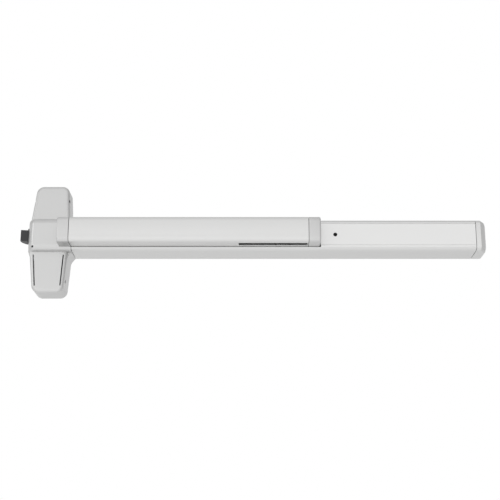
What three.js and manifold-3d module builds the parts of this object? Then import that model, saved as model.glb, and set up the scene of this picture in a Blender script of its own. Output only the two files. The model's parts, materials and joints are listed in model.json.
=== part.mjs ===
// Touch-bar panic exit device for an outward-opening door, in millimetres.
// X runs along the bar away from the latch, +Y goes into the door and +Z is up.
// The origin is on the door face, at the middle of the centre case's back.
import * as THREE from 'three';
import { mergeVertices } from 'three/addons/utils/BufferGeometryUtils.js';
import Module from 'manifold-3d';

const wasm = await Module();
wasm.setup();

// ---- driving dimensions -------------------------------------------------
const PRESS_TRAVEL = 19;        // the bar's travel towards the door
const GAP = 0.4;                // clearance between neighbouring pieces

// Each lobe ends at its own height. A side is its half width where it leaves the
// middle band, and how much it narrows for each millimetre beyond.
const UPPER_LOBE = { end: 99.2, right: [33.1, 0.067], left: [35.9, 0.125] };
const LOWER_LOBE = { end: 103.5, right: [32.5, 0.075], left: [34.4, 0.107] };
const LOBE_ROOT = 41.5;         // height at which a lobe starts to narrow
const LOBE_CORNER = 12;
const UPPER_LOBE_DEPTH = 42;
const LOWER_LOBE_DEPTH = 50;
const BAND_LEFT = -38.4;
const BAND_RIGHT = 40.6;
const BAND_TOP = 31.4;
const BAND_BOTTOM = -29.2;
const BAND_DEPTH = 61.5;
const BAND_EDGE = 10;
const RIM = 28.6;               // half height at which the lobes widen into the band
const WALL = 2.6;
const SLEEVE_LEFT = 20.2;       // where the sleeve round the bar's end starts
const COVER_SCREW_DEPTH = 35;
// The lower lobe's two slots: x at their top, and how far each leans by its bottom.
const SLOTS = [[-27.7, 4.9], [26.2, -3.4]];
const SLOT_HEIGHTS = [-34.5, -92];
const SLOT_HALF_WIDTH = 1.1;

const CASE_LEFT = 41;
const CASE_RIGHT = 766.2;
const CASE_HALF_HEIGHT = 28.6;
const CASE_EDGE = 8;            // height of the section's rounded front corners
const CASE_EDGE_DEPTH = 12;     // and how far back they reach
const CASE_WALL = 2.9;
const COVER_DEPTH = 61.7;
const MOUTH_HALF = 23.5;        // half height of the channel's mouth, between its lips
const LIP_DEPTH = 51;
const END_CAP_RIGHT = 786.5;

const BAR_LEFT = 41.1;
const BAR_SEAM = 464.9;
const BAR_RIGHT = 486.2;
const BAR_HALF_HEIGHT = 23;
const BAR_FRONT = 97.5;
const BAR_ROOT = 52;            // depth of the skirt's rear edge at rest
const BAR_EDGE = 7;
const BAR_WALL = 2;
const BAR_SLOT = { x: [341, 463], depth: [69, 83] };   // through the underside

const CRANK_X = [120, 420];     // bell crank pivots, front (latch side) and rear
const CRANK_PIVOT_DEPTH = 31;
const BAR_ARM = 30.5;
const ROD_ARM = 20;
const HALF_SWING = Math.asin(PRESS_TRAVEL / 2 / BAR_ARM);
const ROD_TRAVEL = 2 * ROD_ARM * Math.sin(HALF_SWING);
const PIN_RADIUS = 2;
const PIN_HOLE = 2.45;

const ROD_DEPTHS = [7.1, 16.1];      // back and front edges of the flat rod
const ROD_HEIGHTS = [-8.5, -5.5];
const ROD_RIGHT = 509.9;
const CRANK_HEIGHTS = [-5, -1];

const LATCH_PIVOT = { x: -28, depth: 34 };
const LATCH_REACH = 27.3;
const LATCH_HEIGHTS = [-5, 15.6];
const LATCH_ROOT_REACH = 14.3;
const LATCH_ROOT_HEIGHTS = [-8.2, 18.3];
const RETRACTOR_PIN_OFFSET = 8.34;   // from the latch pivot towards the door

const DOG_X = 513.8;
const DOG_Z = -0.5;

// ---- finishes -----------------------------------------------------------
const finish = (color, roughness, metalness) =>
  new THREE.MeshStandardMaterial({ color, roughness, metalness });
const satinSilver = finish(0xd6d6d4, 0.42, 0.6);
const paleSilver = finish(0xe0e0de, 0.38, 0.6);
const darkSteel = finish(0x3a3a3b, 0.4, 0.8);
const zincSteel = finish(0xa9adb0, 0.4, 0.9);
const springSteel = finish(0x8b8d90, 0.3, 1.0);
const blackSteel = finish(0x202022, 0.5, 0.6);

// ---- solids -------------------------------------------------------------
const device = new THREE.Group();

function solidOf(geometry) {
  const bare = geometry.clone();
  for (const extra of ['normal', 'uv']) bare.deleteAttribute(extra);
  const merged = mergeVertices(bare, 1e-4);
  return new wasm.Manifold(new wasm.Mesh({
    numProp: 3,
    vertProperties: new Float32Array(merged.attributes.position.array),
    triVerts: new Uint32Array(merged.index.array),
  }));
}

function geometryOf(manifold) {
  const mesh = manifold.getMesh();
  const geometry = new THREE.BufferGeometry();
  geometry.setAttribute('position', new THREE.BufferAttribute(mesh.vertProperties, 3));
  geometry.setIndex(new THREE.BufferAttribute(mesh.triVerts, 1));
  geometry.computeVertexNormals();
  return geometry;
}

function place(name, manifold, material) {
  const mesh = new THREE.Mesh(geometryOf(manifold), material);
  mesh.name = name;
  device.add(mesh);
  return mesh;
}

const joined = (...solids) => solids.reduce((whole, next) => whole.add(next));
const cut = (body, ...tools) => tools.reduce((rest, tool) => rest.subtract(tool), body);

function outline(points) {
  return new THREE.Shape(points.map(([a, b]) => new THREE.Vector2(a, b)));
}

// The three prisms take a shape drawn in the plane across the named axis.
function prism(shape, length, basis, offset, bevel = {}) {
  const geometry = new THREE.ExtrudeGeometry(shape, {
    depth: length, bevelEnabled: false, curveSegments: 6, ...bevel,
  });
  const axes = basis.map((axis) => new THREE.Vector3(...axis));
  geometry.applyMatrix4(new THREE.Matrix4().makeBasis(...axes));
  geometry.translate(...offset);
  return solidOf(geometry);
}
const alongX = (shape, x0, x1) =>           // shape holds (y, z)
  prism(shape, x1 - x0, [[0, 1, 0], [0, 0, 1], [1, 0, 0]], [x0, 0, 0]);
const alongDepth = (shape, d0, d1, bevel) =>  // shape holds (x, z), depth is -y
  prism(shape, d1 - d0, [[1, 0, 0], [0, 0, 1], [0, -1, 0]], [0, -d0, 0], bevel);
const alongZ = (shape, z0, z1) =>           // shape holds (x, y)
  prism(shape, z1 - z0, [[1, 0, 0], [0, 1, 0], [0, 0, 1]], [0, 0, z0]);

// A box between two x, two depths (distance in front of the door) and two z.
function block([x0, x1], [d0, d1], [z0, z1]) {
  const geometry = new THREE.BoxGeometry(x1 - x0, d1 - d0, z1 - z0);
  geometry.translate((x0 + x1) / 2, -(d0 + d1) / 2, (z0 + z1) / 2);
  return solidOf(geometry);
}

function round(radius, from, to, sides = 20) {
  const start = new THREE.Vector3(...from);
  const end = new THREE.Vector3(...to);
  const along = end.clone().sub(start);
  const geometry = new THREE.CylinderGeometry(radius, radius, along.length(), sides);
  const turn = new THREE.Quaternion().setFromUnitVectors(
    new THREE.Vector3(0, 1, 0), along.clone().normalize());
  geometry.applyQuaternion(turn);
  geometry.translate(...start.add(end).multiplyScalar(0.5).toArray());
  return solidOf(geometry);
}

function coil(from, to, coilRadius, wireRadius, turns) {
  const start = new THREE.Vector3(...from);
  const length = to[0] - from[0] - 2 * wireRadius;
  const steps = turns * 9;
  const points = Array.from({ length: steps + 1 }, (_, i) => {
    const angle = (i / steps) * turns * 2 * Math.PI;
    return new THREE.Vector3(
      start.x + wireRadius + (i / steps) * length,
      start.y + coilRadius * Math.cos(angle),
      start.z + coilRadius * Math.sin(angle));
  });
  const section = new THREE.Shape();
  section.absarc(0, 0, wireRadius, 0, 2 * Math.PI);
  return new THREE.ExtrudeGeometry(section, {
    steps, curveSegments: 3, bevelEnabled: false,
    extrudePath: new THREE.CatmullRomCurve3(points),
  });
}

const arc = (cx, cy, radius, from, to, steps = 5) =>
  Array.from({ length: steps + 1 }, (_, i) => {
    const angle = THREE.MathUtils.degToRad(from + ((to - from) * i) / steps);
    return [cx + radius * Math.cos(angle), cy + radius * Math.sin(angle)];
  });
const mirrored = (points) => points.map(([a, b]) => [-a, b]).reverse();
const flipped = (points) => points.map(([a, b]) => [a, -b]).reverse();

// ---- centre case --------------------------------------------------------
// One side of a lobe's outline: it leaves the band with a fillet, narrows to its
// end and turns the corner. `inset` draws the hollow inside the wall.
function lobeSide(reach, [root, taper], end, inset) {
  const corner = LOBE_CORNER - inset / 2;
  const rim = RIM + 1.4 - inset;
  const top = end - inset;
  const width = root - inset;
  const tip = width - taper * (top - corner - LOBE_ROOT);
  return [
    [reach - inset, 0],
    [reach - inset, rim - 1.5],
    [Math.min(reach - inset, Math.max(width + 0.6, BAND_RIGHT - inset - 2.4)), rim + 2.2],
    [width + 0.3, rim + 6.5],
    [width, rim + 11.5],
    ...arc(tip - corner, top - corner, corner, 4, 90, 5),
  ];
}

function lobeOutline(sign, inset) {
  const { end, left, right } = sign > 0 ? UPPER_LOBE : LOWER_LOBE;
  const half = [...lobeSide(BAND_RIGHT, right, end, inset),
    ...mirrored(lobeSide(-BAND_LEFT, left, end, inset))];
  return outline(sign > 0 ? half : flipped(half));
}

const roundedEdge = (size) => ({
  bevelEnabled: true, bevelThickness: size, bevelSize: size, bevelOffset: -size,
  bevelSegments: 3,
});

function lobe(sign, depth, inset) {
  const edge = inset ? 0.01 : 6;
  const behind = 20;
  const solid = alongDepth(lobeOutline(sign, inset), -behind, depth - edge,
    inset ? {} : roundedEdge(edge));
  return cut(solid, block([-60, 60], [-2 * behind, inset ? -1 : 0], [-120, 120]));
}

// The band's section across X: flat front, rounded top and bottom edges.
function bandSection(inset) {
  const edge = BAND_EDGE - inset / 2;
  const front = -(BAND_DEPTH - inset);
  const top = BAND_TOP - inset;
  const bottom = BAND_BOTTOM + inset;
  return outline([
    [inset ? 1 : 0, bottom],
    [inset ? 1 : 0, top],
    ...arc(front + edge, top - edge, edge, 90, 180, 5),
    ...arc(front + edge, bottom + edge, edge, 180, 270, 5),
  ].reverse());
}

// Seen from above, the band's left end slopes back from its front to its side.
function bandPlan(inset) {
  return outline([
    [BAND_LEFT + inset, 2],
    [BAND_LEFT + inset, -44.6 + inset / 2],
    [BAND_LEFT + 2.5 + inset, -52 + inset / 2],
    [BAND_LEFT + 11.5 + inset / 2, -BAND_DEPTH + inset],
    [BAND_RIGHT + 1, -BAND_DEPTH + inset],
    [BAND_RIGHT + 1, 2],
  ]);
}

function band(inset) {
  const right = inset ? BAND_RIGHT - inset : BAND_RIGHT;
  return alongX(bandSection(inset), BAND_LEFT + inset, right)
    .intersect(alongZ(bandPlan(inset), -60, 60));
}

function barSection(inset, root) {
  const edge = BAR_EDGE - inset / 2;
  const front = -(BAR_FRONT - inset);
  const half = BAR_HALF_HEIGHT - inset;
  return outline([
    [-root, -half],
    [-root, half],
    ...arc(front + edge, half - edge, edge, 90, 180, 4),
    ...arc(front + edge, -half + edge, edge, 180, 270, 4),
  ].reverse());
}

function sleeve() {
  const left = SLEEVE_LEFT;
  const shoulder = 4;
  const plan = outline([
    [left, -BAND_DEPTH + 3], [left, -BAR_FRONT + shoulder],
    [left + shoulder, -BAR_FRONT - 1], [BAND_RIGHT, -BAR_FRONT - 1],
    [BAND_RIGHT, -BAND_DEPTH + 3],
  ]);
  return alongX(barSection(0, BAND_DEPTH - 3), left, BAND_RIGHT)
    .intersect(alongZ(plan, -40, 40));
}

const COVER_SCREWS = [];
for (const [level, z, shape] of [['lower', -81, LOWER_LOBE], ['upper', 70.3, UPPER_LOBE]]) {
  for (const [side, across] of [[-1, 'left'], [1, 'right']]) {
    const [root, taper] = shape[across];
    const wallAt = root - taper * (Math.abs(z) - LOBE_ROOT);
    COVER_SCREWS.push({ name: `cover_screw_${level}_${across}`, side, z, wallAt });
  }
}

function caseCover() {
  const [top, bottom] = SLOT_HEIGHTS;
  const half = SLOT_HALF_WIDTH;
  const slots = SLOTS.map(([x, lean]) => alongDepth(outline([
    [x + lean - half, bottom], [x + lean + half, bottom], [x + half, top], [x - half, top],
  ]), LOWER_LOBE_DEPTH - WALL - 2, LOWER_LOBE_DEPTH + 5));
  const outside = joined(
    lobe(1, UPPER_LOBE_DEPTH, 0), lobe(-1, LOWER_LOBE_DEPTH, 0), band(0), sleeve());
  const inside = joined(
    lobe(1, UPPER_LOBE_DEPTH - WALL, WALL), lobe(-1, LOWER_LOBE_DEPTH - WALL, WALL),
    band(WALL),
    alongX(barSection(WALL, BAND_DEPTH - WALL - 2), SLEEVE_LEFT + WALL, BAND_RIGHT + 1));
  const latchWindow = block([-50, -30], [4.6, 44.4], [-14.4, 19.6]);
  const rightOpening = block([30, 50], [-1, 54], [-22, 22]);
  const sightHole = round(1.9, [-28.2, -50, -22.2], [-28.2, -70, -22.2], 16);
  const screwHoles = COVER_SCREWS.map(({ side, z }) => round(3.4,
    [side * 25.2, -COVER_SCREW_DEPTH, z], [side * 45, -COVER_SCREW_DEPTH, z], 16));
  return cut(outside, inside, latchWindow, rightOpening, sightHole, ...screwHoles, ...slots);
}
place('case_cover', caseCover(), satinSilver);

// The chassis closes the back of the cover, and lies just inside its walls.
function caseChassis() {
  const thickness = 3;
  const plate = alongDepth(outline([
    [-22.5, -96], [22.5, -96], [26, -88], [29.5, -34], [35, -25], [35, 25], [30.1, 34],
    [27.2, 84], [23, 92.5], [-23, 92.5], [-27.5, 84], [-32.8, 34], [-34.5, 25], [-34.5, -25],
    [-31.2, -34], [-26.3, -88],
  ]), 0, thickness);
  const lugs = COVER_SCREWS.map(({ side, z }) => {
    const x = [side * 20, side * 25].sort((a, b) => a - b);
    const hole = round(1.9, [side * 15, -COVER_SCREW_DEPTH, z],
      [side * 30, -COVER_SCREW_DEPTH, z], 12);
    return cut(block(x, [thickness - 0.5, 38.5], [z - 6.5, z + 6.5]), hole);
  });
  const mountingHoles = [[-8, 52], [8, 52], [-8, -52], [8, -52]].map(([x, z]) =>
    round(3.2, [x, 5, z], [x, -10, z], 16));
  return cut(joined(plate, ...lugs), ...mountingHoles);
}
place('case_chassis', caseChassis(), zincSteel);

// A cap screw whose head sits in its hole, just below the case's surface.
function coverScrew({ side, z, wallAt }) {
  const y = -COVER_SCREW_DEPTH;
  const face = wallAt - 1;
  const shank = round(1.5, [side * 12, y, z], [side * (face - 2.8), y, z], 12);
  const head = round(2.9, [side * (face - 3), y, z], [side * face, y, z], 16);
  const socket = round(1.4, [side * (face - 1.6), y, z], [side * (face + 1), y, z], 6);
  return cut(joined(shank, head), socket);
}
COVER_SCREWS.forEach((screw) => place(screw.name, coverScrew(screw), blackSteel));

// ---- latch --------------------------------------------------------------
const pivotY = -LATCH_PIVOT.depth;

function latchFrame() {
  const ears = [[23.4, 25.6], [-17.6, -15]].map((z) =>
    block([-35, -19], [5, 41.5], z));
  const web = block([-35, 8], [3.4, 6.1], [-17.6, 25.6]);
  const swing = block([-40, -8], [4.3, 7.5], [-13.5, 23]);
  const bore = round(PIN_HOLE, [LATCH_PIVOT.x, pivotY, -30], [LATCH_PIVOT.x, pivotY, 30]);
  const relief = block([-37, -25], [3, 8], [-8.2, 23.3]);
  return cut(joined(...ears, web), swing, bore, relief);
}
place('latch_frame', latchFrame(), zincSteel);

const verticalPin = (x, y, z0, z1) => round(PIN_RADIUS, [x, y, z0], [x, y, z1], 16);
place('latch_hinge_pin', verticalPin(LATCH_PIVOT.x, pivotY, -18.2, 26.6), springSteel);

// A flat slice of a disc round the latch pivot, between two angles.
function slice(radius, from, to, [z0, z1]) {
  const { x } = LATCH_PIVOT;
  return alongZ(outline([[x, pivotY], ...arc(x, pivotY, radius, from, to, 12)]), z0, z1);
}

function latchBolt() {
  const { x } = LATCH_PIVOT;
  const frontAngle = 187;
  const nose = slice(LATCH_REACH, 128, frontAngle, LATCH_HEIGHTS);
  const root = slice(LATCH_ROOT_REACH, 106, frontAngle, LATCH_ROOT_HEIGHTS);
  const hub = round(8, [x, pivotY, LATCH_ROOT_HEIGHTS[0]], [x, pivotY, LATCH_ROOT_HEIGHTS[1]]);
  const spacers = [[-14.6, -7], [17, 22.6]].map(([z0, z1]) =>
    round(5, [x, pivotY, z0], [x, pivotY, z1], 16));
  const bore = round(PIN_HOLE, [x, pivotY, -20], [x, pivotY, 30]);
  const slotDirection = THREE.MathUtils.degToRad(126.75);
  const slotWidth = 2.5;
  const slotEnds = [6.1, 12.8];
  const across = [-Math.sin(slotDirection) * slotWidth, Math.cos(slotDirection) * slotWidth];
  const [near, far] = slotEnds.map((r) =>
    [x + r * Math.cos(slotDirection), pivotY + r * Math.sin(slotDirection)]);
  const slot = alongZ(outline([
    [near[0] - across[0], near[1] - across[1]], [far[0] - across[0], far[1] - across[1]],
    [far[0] + across[0], far[1] + across[1]], [near[0] + across[0], near[1] + across[1]],
  ]), LATCH_ROOT_HEIGHTS[0] - 1, -3);
  return cut(joined(nose, root, hub, ...spacers), bore, slot);
}
place('latch_bolt', latchBolt(), darkSteel);

// The trigger's travel is as far as its tip stands out of the case.
const TRIGGER_TRAVEL = 2;
const TRIGGER = { tip: BAND_LEFT - TRIGGER_TRAVEL, y: -42, z: -10.7 };

function deadlatchTrigger() {
  const { tip, y, z } = TRIGGER;
  return joined(round(2.2, [tip, y, z], [-6, y, z], 16),
    round(2.7, [-21, y, z], [-19.4, y, z], 16));
}
place('deadlatch_trigger', deadlatchTrigger(), blackSteel);

function triggerGuide() {
  const { y, z } = TRIGGER;
  const post = block([-12.4, -8.4], [38, 46], [-17.6, -6.5]);
  const foot = block([-18.4, -8.4], [6.7, 46], [-17.6, -15]);
  const wall = block([-18.4, -8.4], [6.7, 9.2], [-17.6, -13.9]);
  return cut(joined(post, foot, wall), round(2.75, [-20, y, z], [0, y, z], 16));
}
place('trigger_guide', triggerGuide(), zincSteel);

const triggerSpring = new THREE.Mesh(
  coil([-19, TRIGGER.y, TRIGGER.z], [-12.8, TRIGGER.y, TRIGGER.z], 3.1, 0.35, 4), springSteel);
triggerSpring.name = 'trigger_spring';
device.add(triggerSpring);

// ---- retractor and actuating rod ---------------------------------------
const retractorX = LATCH_PIVOT.x - ROD_TRAVEL / 2;
const retractorY = pivotY + RETRACTOR_PIN_OFFSET;

function retractorSlide() {
  const plate = block([-37.1, -16], [ROD_DEPTHS[0], 28], [-12.6, -8.9]);
  const bores = [[-31, -11.6], [-21, -11.6]].map(([x, y]) =>
    round(1.9, [x, y, -20], [x, y, 0], 12));
  const pinBore = round(2.2, [retractorX, retractorY, -20], [retractorX, retractorY, 0]);
  const spacerRelief = round(5.9, [LATCH_PIVOT.x, pivotY, -20], [LATCH_PIVOT.x, pivotY, 0]);
  return cut(plate, ...bores, pinBore, spacerRelief);
}
place('retractor_slide', retractorSlide(), zincSteel);
place('retractor_pin', round(1.8, [retractorX, retractorY, -12.6],
  [retractorX, retractorY, -4.2], 16), springSteel);
for (const [index, x] of [-31, -21].entries()) {
  place(`slide_rivet_${index + 1}`, round(1.5, [x, -11.6, -13], [x, -11.6, -5.1], 12), zincSteel);
}

const rodPinX = CRANK_X.map((x) => x - ROD_ARM * Math.sin(HALF_SWING));
const rodPinY = -CRANK_PIVOT_DEPTH + ROD_ARM * Math.cos(HALF_SWING);

function actuatingRod() {
  const bar = block([-37.1, ROD_RIGHT], ROD_DEPTHS, ROD_HEIGHTS);
  const slots = rodPinX.map((x) =>
    block([x - PIN_HOLE, x + PIN_HOLE], [8.6, 15], [-10, -4]));
  const rivetHoles = [-31, -21].map((x) => round(1.9, [x, -11.6, -20], [x, -11.6, 0], 12));
  const lug = block([505, ROD_RIGHT], [9, 22], [-14, -6]);
  const collarHoles = [196, 208].map((x) => round(1.9, [x, -11.6, -20], [x, -11.6, 0], 12));
  return cut(joined(bar, lug), ...slots, ...rivetHoles, ...collarHoles);
}
place('actuating_rod', actuatingRod(), zincSteel);

// ---- bell cranks --------------------------------------------------------
const CRANK_NAMES = ['front', 'rear'];

function bellCrank(x) {
  const y = -CRANK_PIVOT_DEPTH;
  const [barEnd, rodEnd] = [
    [x - BAR_ARM * Math.cos(HALF_SWING), y - BAR_ARM * Math.sin(HALF_SWING)],
    [x - ROD_ARM * Math.sin(HALF_SWING), y + ROD_ARM * Math.cos(HALF_SWING)],
  ];
  const arm = ([ex, ey]) => {
    const along = new THREE.Vector2(ex - x, ey - y).normalize();
    const side = [-along.y * 4, along.x * 4];
    return joined(
      alongZ(outline([
        [x - side[0], y - side[1]], [ex - side[0], ey - side[1]],
        [ex + side[0], ey + side[1]], [x + side[0], y + side[1]],
      ]), ...CRANK_HEIGHTS),
      round(4, [ex, ey, CRANK_HEIGHTS[0]], [ex, ey, CRANK_HEIGHTS[1]], 16));
  };
  const hub = round(6, [x, y, -13.6], [x, y, 7.6]);
  const bore = (px, py) => round(PIN_HOLE, [px, py, -20], [px, py, 20], 16);
  return cut(joined(hub, arm(barEnd), arm(rodEnd)), bore(x, y), bore(...barEnd), bore(...rodEnd));
}

function crankBracket(x) {
  const base = block([x - 14, x + 14], [5.8, 8.6], [8, 20]);
  const lowerBase = block([x - 14, x + 14], [5.8, 8.6], [-20, -14]);
  const ears = [[8, 10.6], [-16.6, -14]].map((z) => block([x - 9, x + 9], [5.8, 39], z));
  const tie = block([x + 10, x + 14], [17.5, 20.5], [-16.6, 10.6]);
  const tieFeet = [[8, 10.6], [-16.6, -14]].map((z) => block([x + 8, x + 14], [5.8, 20.5], z));
  const bore = round(PIN_HOLE, [x, -CRANK_PIVOT_DEPTH, -30], [x, -CRANK_PIVOT_DEPTH, 30], 16);
  const screwHoles = [15, -18].map((z) => round(1.6, [x - 11, 0, z], [x - 11, -12, z], 12));
  return cut(joined(base, lowerBase, ...ears, tie, ...tieFeet), bore, ...screwHoles);
}

CRANK_X.forEach((x, index) => {
  const which = CRANK_NAMES[index];
  const y = -CRANK_PIVOT_DEPTH;
  place(`bell_crank_${which}`, bellCrank(x), zincSteel);
  place(`crank_pivot_pin_${which}`, verticalPin(x, y, -17.4, 11.4), springSteel);
  place(`crank_bar_pin_${which}`, verticalPin(x - BAR_ARM * Math.cos(HALF_SWING),
    y - BAR_ARM * Math.sin(HALF_SWING), -9.4, 3.4), springSteel);
  place(`crank_rod_pin_${which}`, verticalPin(rodPinX[index], rodPinY, -9.2, -1), springSteel);
  place(`crank_bracket_${which}`, crankBracket(x), zincSteel);
});

// ---- push bar -----------------------------------------------------------
function touchBar() {
  const skin = alongX(barSection(0, BAR_ROOT), BAR_LEFT, BAR_SEAM);
  const hollow = alongX(barSection(BAR_WALL, BAR_ROOT - 2), BAR_LEFT - 1, BAR_SEAM + 1);
  const slot = block(BAR_SLOT.x, BAR_SLOT.depth, [-26, -BAR_HALF_HEIGHT + BAR_WALL + 0.5]);
  return cut(skin, hollow, slot);
}
place('touch_bar', touchBar(), satinSilver);

function touchBarEndCap() {
  const left = BAR_SEAM + GAP;
  const plan = outline([
    [left, -BAR_ROOT], [left, -BAR_FRONT - 1], [BAR_RIGHT - 2.5, -BAR_FRONT - 1],
    [BAR_RIGHT, -BAR_FRONT + 2.5], [BAR_RIGHT, -BAR_ROOT],
  ]);
  const skin = alongX(barSection(0, BAR_ROOT), left, BAR_RIGHT)
    .intersect(alongZ(plan, -40, 40));
  const hollow = alongX(barSection(BAR_WALL, BAR_ROOT - 2), left - 1, BAR_RIGHT - BAR_WALL);
  return cut(skin, hollow);
}
place('touch_bar_end_cap', touchBarEndCap(), satinSilver);

// Two legs straddle the bell crank's arm and carry its bar pin in short slots.
function touchBarBracket(x) {
  const pinX = x - BAR_ARM * (1 + Math.cos(HALF_SWING)) / 2;
  const front = BAR_FRONT - BAR_WALL - GAP;
  const web = block([pinX - 10, pinX + 10], [front - 2.6, front], [-16.5, 16.5]);
  const legs = [[-0.4, 2.2], [-8.2, -5.6]].map((z) =>
    block([pinX - 9, pinX + 9], [36, front - 1], z));
  const slack = 1.4;
  const slot = block([pinX - PIN_HOLE - slack, pinX + PIN_HOLE + slack],
    [CRANK_PIVOT_DEPTH + PRESS_TRAVEL / 2 - PIN_HOLE, CRANK_PIVOT_DEPTH + PRESS_TRAVEL / 2 + PIN_HOLE],
    [-12, 8]);
  const screwHoles = [-13, 13].map((z) =>
    round(1.7, [pinX, -front - 5, z], [pinX, -front + 8, z], 12));
  return cut(joined(web, ...legs), slot, ...screwHoles);
}
CRANK_X.forEach((x, index) =>
  place(`touch_bar_bracket_${CRANK_NAMES[index]}`, touchBarBracket(x), zincSteel));

// ---- mechanism case -----------------------------------------------------
// The channel, its cover and the end cap share one outer section: a flat front
// whose top and bottom corners are rounded.
const edgeAngle = (z) => {
  const rise = z - (CASE_HALF_HEIGHT - CASE_EDGE);
  return 180 - THREE.MathUtils.radToDeg(Math.asin(rise / CASE_EDGE));
};
// A corner is a quarter of an ellipse, drawn as an arc and stretched in depth.
const caseCorner = (from, to, steps, inset = 0) => {
  const stretch = (CASE_EDGE_DEPTH - inset) / (CASE_EDGE - inset);
  return arc(0, CASE_HALF_HEIGHT - CASE_EDGE, CASE_EDGE - inset, from, to, steps)
    .map(([y, z]) => [-COVER_DEPTH + CASE_EDGE_DEPTH + y * stretch, z]);
};

function mechanismCase() {
  const inner = CASE_HALF_HEIGHT - CASE_WALL;
  const half = [
    [0, 0], [0, CASE_HALF_HEIGHT], ...caseCorner(90, edgeAngle(MOUTH_HALF), 4),
    [-LIP_DEPTH, MOUTH_HALF], [-LIP_DEPTH, inner], [-3, inner], [-3, 0],
  ];
  const section = outline([...half, ...flipped(half).slice(1, -1)]);
  const channel = alongX(section, CASE_LEFT, CASE_RIGHT);
  const holes = [];
  for (const x of [75, 300, 540, 740]) {
    for (const z of [-12, 12]) holes.push(round(2.8, [x, 5, z], [x, -10, z], 16));
  }
  return cut(channel, ...holes);
}
place('mechanism_case', mechanismCase(), satinSilver);

function coverPlate() {
  const edge = MOUTH_HALF - GAP;
  const grooveDepth = 0.8;
  const grooveAt = [19.6, 20.4];
  const half = [
    ...caseCorner(edgeAngle(edge), 180, 2), [-COVER_DEPTH, grooveAt[1]],
    [-COVER_DEPTH + grooveDepth, grooveAt[1]],
    [-COVER_DEPTH + grooveDepth, grooveAt[0]], [-COVER_DEPTH, grooveAt[0]],
    [-COVER_DEPTH, 0],
  ];
  const inner = [[-COVER_DEPTH + 2.5, 0], [-COVER_DEPTH + 2.5, 19], [-50, 21], [-50, edge]];
  const upper = [...inner, ...half];
  const lower = flipped(upper).slice(1, -1);
  const section = outline([...upper, ...lower]);
  const plate = alongX(section, BAR_RIGHT + 1.6, CASE_RIGHT);
  const keyHole = round(3.6, [DOG_X, -70, DOG_Z], [DOG_X, -50, DOG_Z], 24);
  return cut(plate, keyHole);
}
place('cover_plate', coverPlate(), paleSilver);

function mechanismBaseplate() {
  const plate = block([58, 560], [3.4, 5.4], [-21.5, 21.5]);
  const holes = [];
  for (const x of [75, 300, 540]) {
    for (const z of [-12, 12]) holes.push(round(3, [x, 0, z], [x, -10, z], 16));
  }
  for (const x of CRANK_X) {
    for (const z of [15, -18]) holes.push(round(1.6, [x - 11, 0, z], [x - 11, -12, z], 12));
  }
  return cut(plate, ...holes);
}
place('mechanism_baseplate', mechanismBaseplate(), zincSteel);

// ---- main spring beside the rod ----------------------------------------
const SPRING = { y: -14, z: 9, left: 211.4, right: 270 };

function springCollar() {
  const foot = block([190, 214], [8, 15.4], [-5.1, -2.1]);
  const post = block([207, 211], [8, 20], [-5.1, 15]);
  const hole = round(1.9, [196, -11.6, -20], [196, -11.6, 0], 12);
  const bore = round(2.9, [200, SPRING.y, SPRING.z], [220, SPRING.y, SPRING.z], 16);
  return cut(joined(foot, post), hole, bore);
}
place('spring_collar', springCollar(), zincSteel);
place('collar_rivet', round(1.5, [196, -11.6, -9], [196, -11.6, -1.6], 12), zincSteel);

function springAnchor() {
  const foot = block([270.4, 290], [5.8, 8.4], [2, 20]);
  const post = block([270.4, 274], [5.8, 21], [-1, 20]);
  const bore = round(2.9, [260, SPRING.y, SPRING.z], [280, SPRING.y, SPRING.z], 16);
  return cut(joined(foot, post), bore);
}
place('spring_anchor', springAnchor(), zincSteel);
place('spring_guide_pin', round(2.4, [198, SPRING.y, SPRING.z],
  [279, SPRING.y, SPRING.z], 16), springSteel);

const mainSpring = new THREE.Mesh(
  coil([SPRING.left, SPRING.y, SPRING.z], [SPRING.right, SPRING.y, SPRING.z], 4.2, 0.8, 10),
  springSteel);
mainSpring.name = 'main_spring';
device.add(mainSpring);

// ---- dogging: a key turns the screw, which drives the pawl inwards ------
const PAWL_DEPTHS = [22.6, 30];

function doggingScrew() {
  const head = round(3.1, [DOG_X, -59, DOG_Z], [DOG_X, -50, DOG_Z], 20);
  const shaft = round(2, [DOG_X, -50.5, DOG_Z], [DOG_X, -12, DOG_Z], 16);
  const socket = round(2, [DOG_X, -60, DOG_Z], [DOG_X, -54, DOG_Z], 6);
  return cut(joined(head, shaft), socket);
}
place('dogging_screw', doggingScrew(), blackSteel);

// The collar runs on the screw, and its tongue drops behind the rod's lug.
function doggingPawl() {
  const collar = block([507.6, 520], PAWL_DEPTHS, [-5, 4.4]);
  const tongue = block([510.8, 516.8], PAWL_DEPTHS, [-14, -4.6]);
  return cut(joined(collar, tongue), round(2.4, [DOG_X, -40, DOG_Z], [DOG_X, -10, DOG_Z], 16));
}
place('dogging_pawl', doggingPawl(), darkSteel);

function doggingBracket() {
  const base = block([524, 545], [5.8, 8.4], [-19, 20]);
  const wall = block([524, 527], [5.8, 44], [-19, 20]);
  const shelf = block([500, 527], [41, 44], [-10, 12]);
  const foot = block([500, 527], [41, 44], [6, 20]);
  const rail = block([500, 527], [5.8, 44], [7.5, 10]);
  const bore = round(2.4, [DOG_X, -50, DOG_Z], [DOG_X, -30, DOG_Z], 16);
  const rodWay = block([520, 530], [6.7, 24], [-15, -4.6]);
  return cut(joined(base, wall, shelf, foot, rail), bore, rodWay);
}
place('dogging_bracket', doggingBracket(), zincSteel);

// ---- end cap ------------------------------------------------------------
function caseSection(inset) {
  const half = [
    [0, 0], [0, CASE_HALF_HEIGHT - inset],
    ...caseCorner(90, 180, 4, inset),
    [-COVER_DEPTH + inset, 0],
  ];
  return outline([...half, ...flipped(half).slice(1, -1)]);
}

const CAP_SCREW = { depth: 25, z: 14 };

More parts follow.
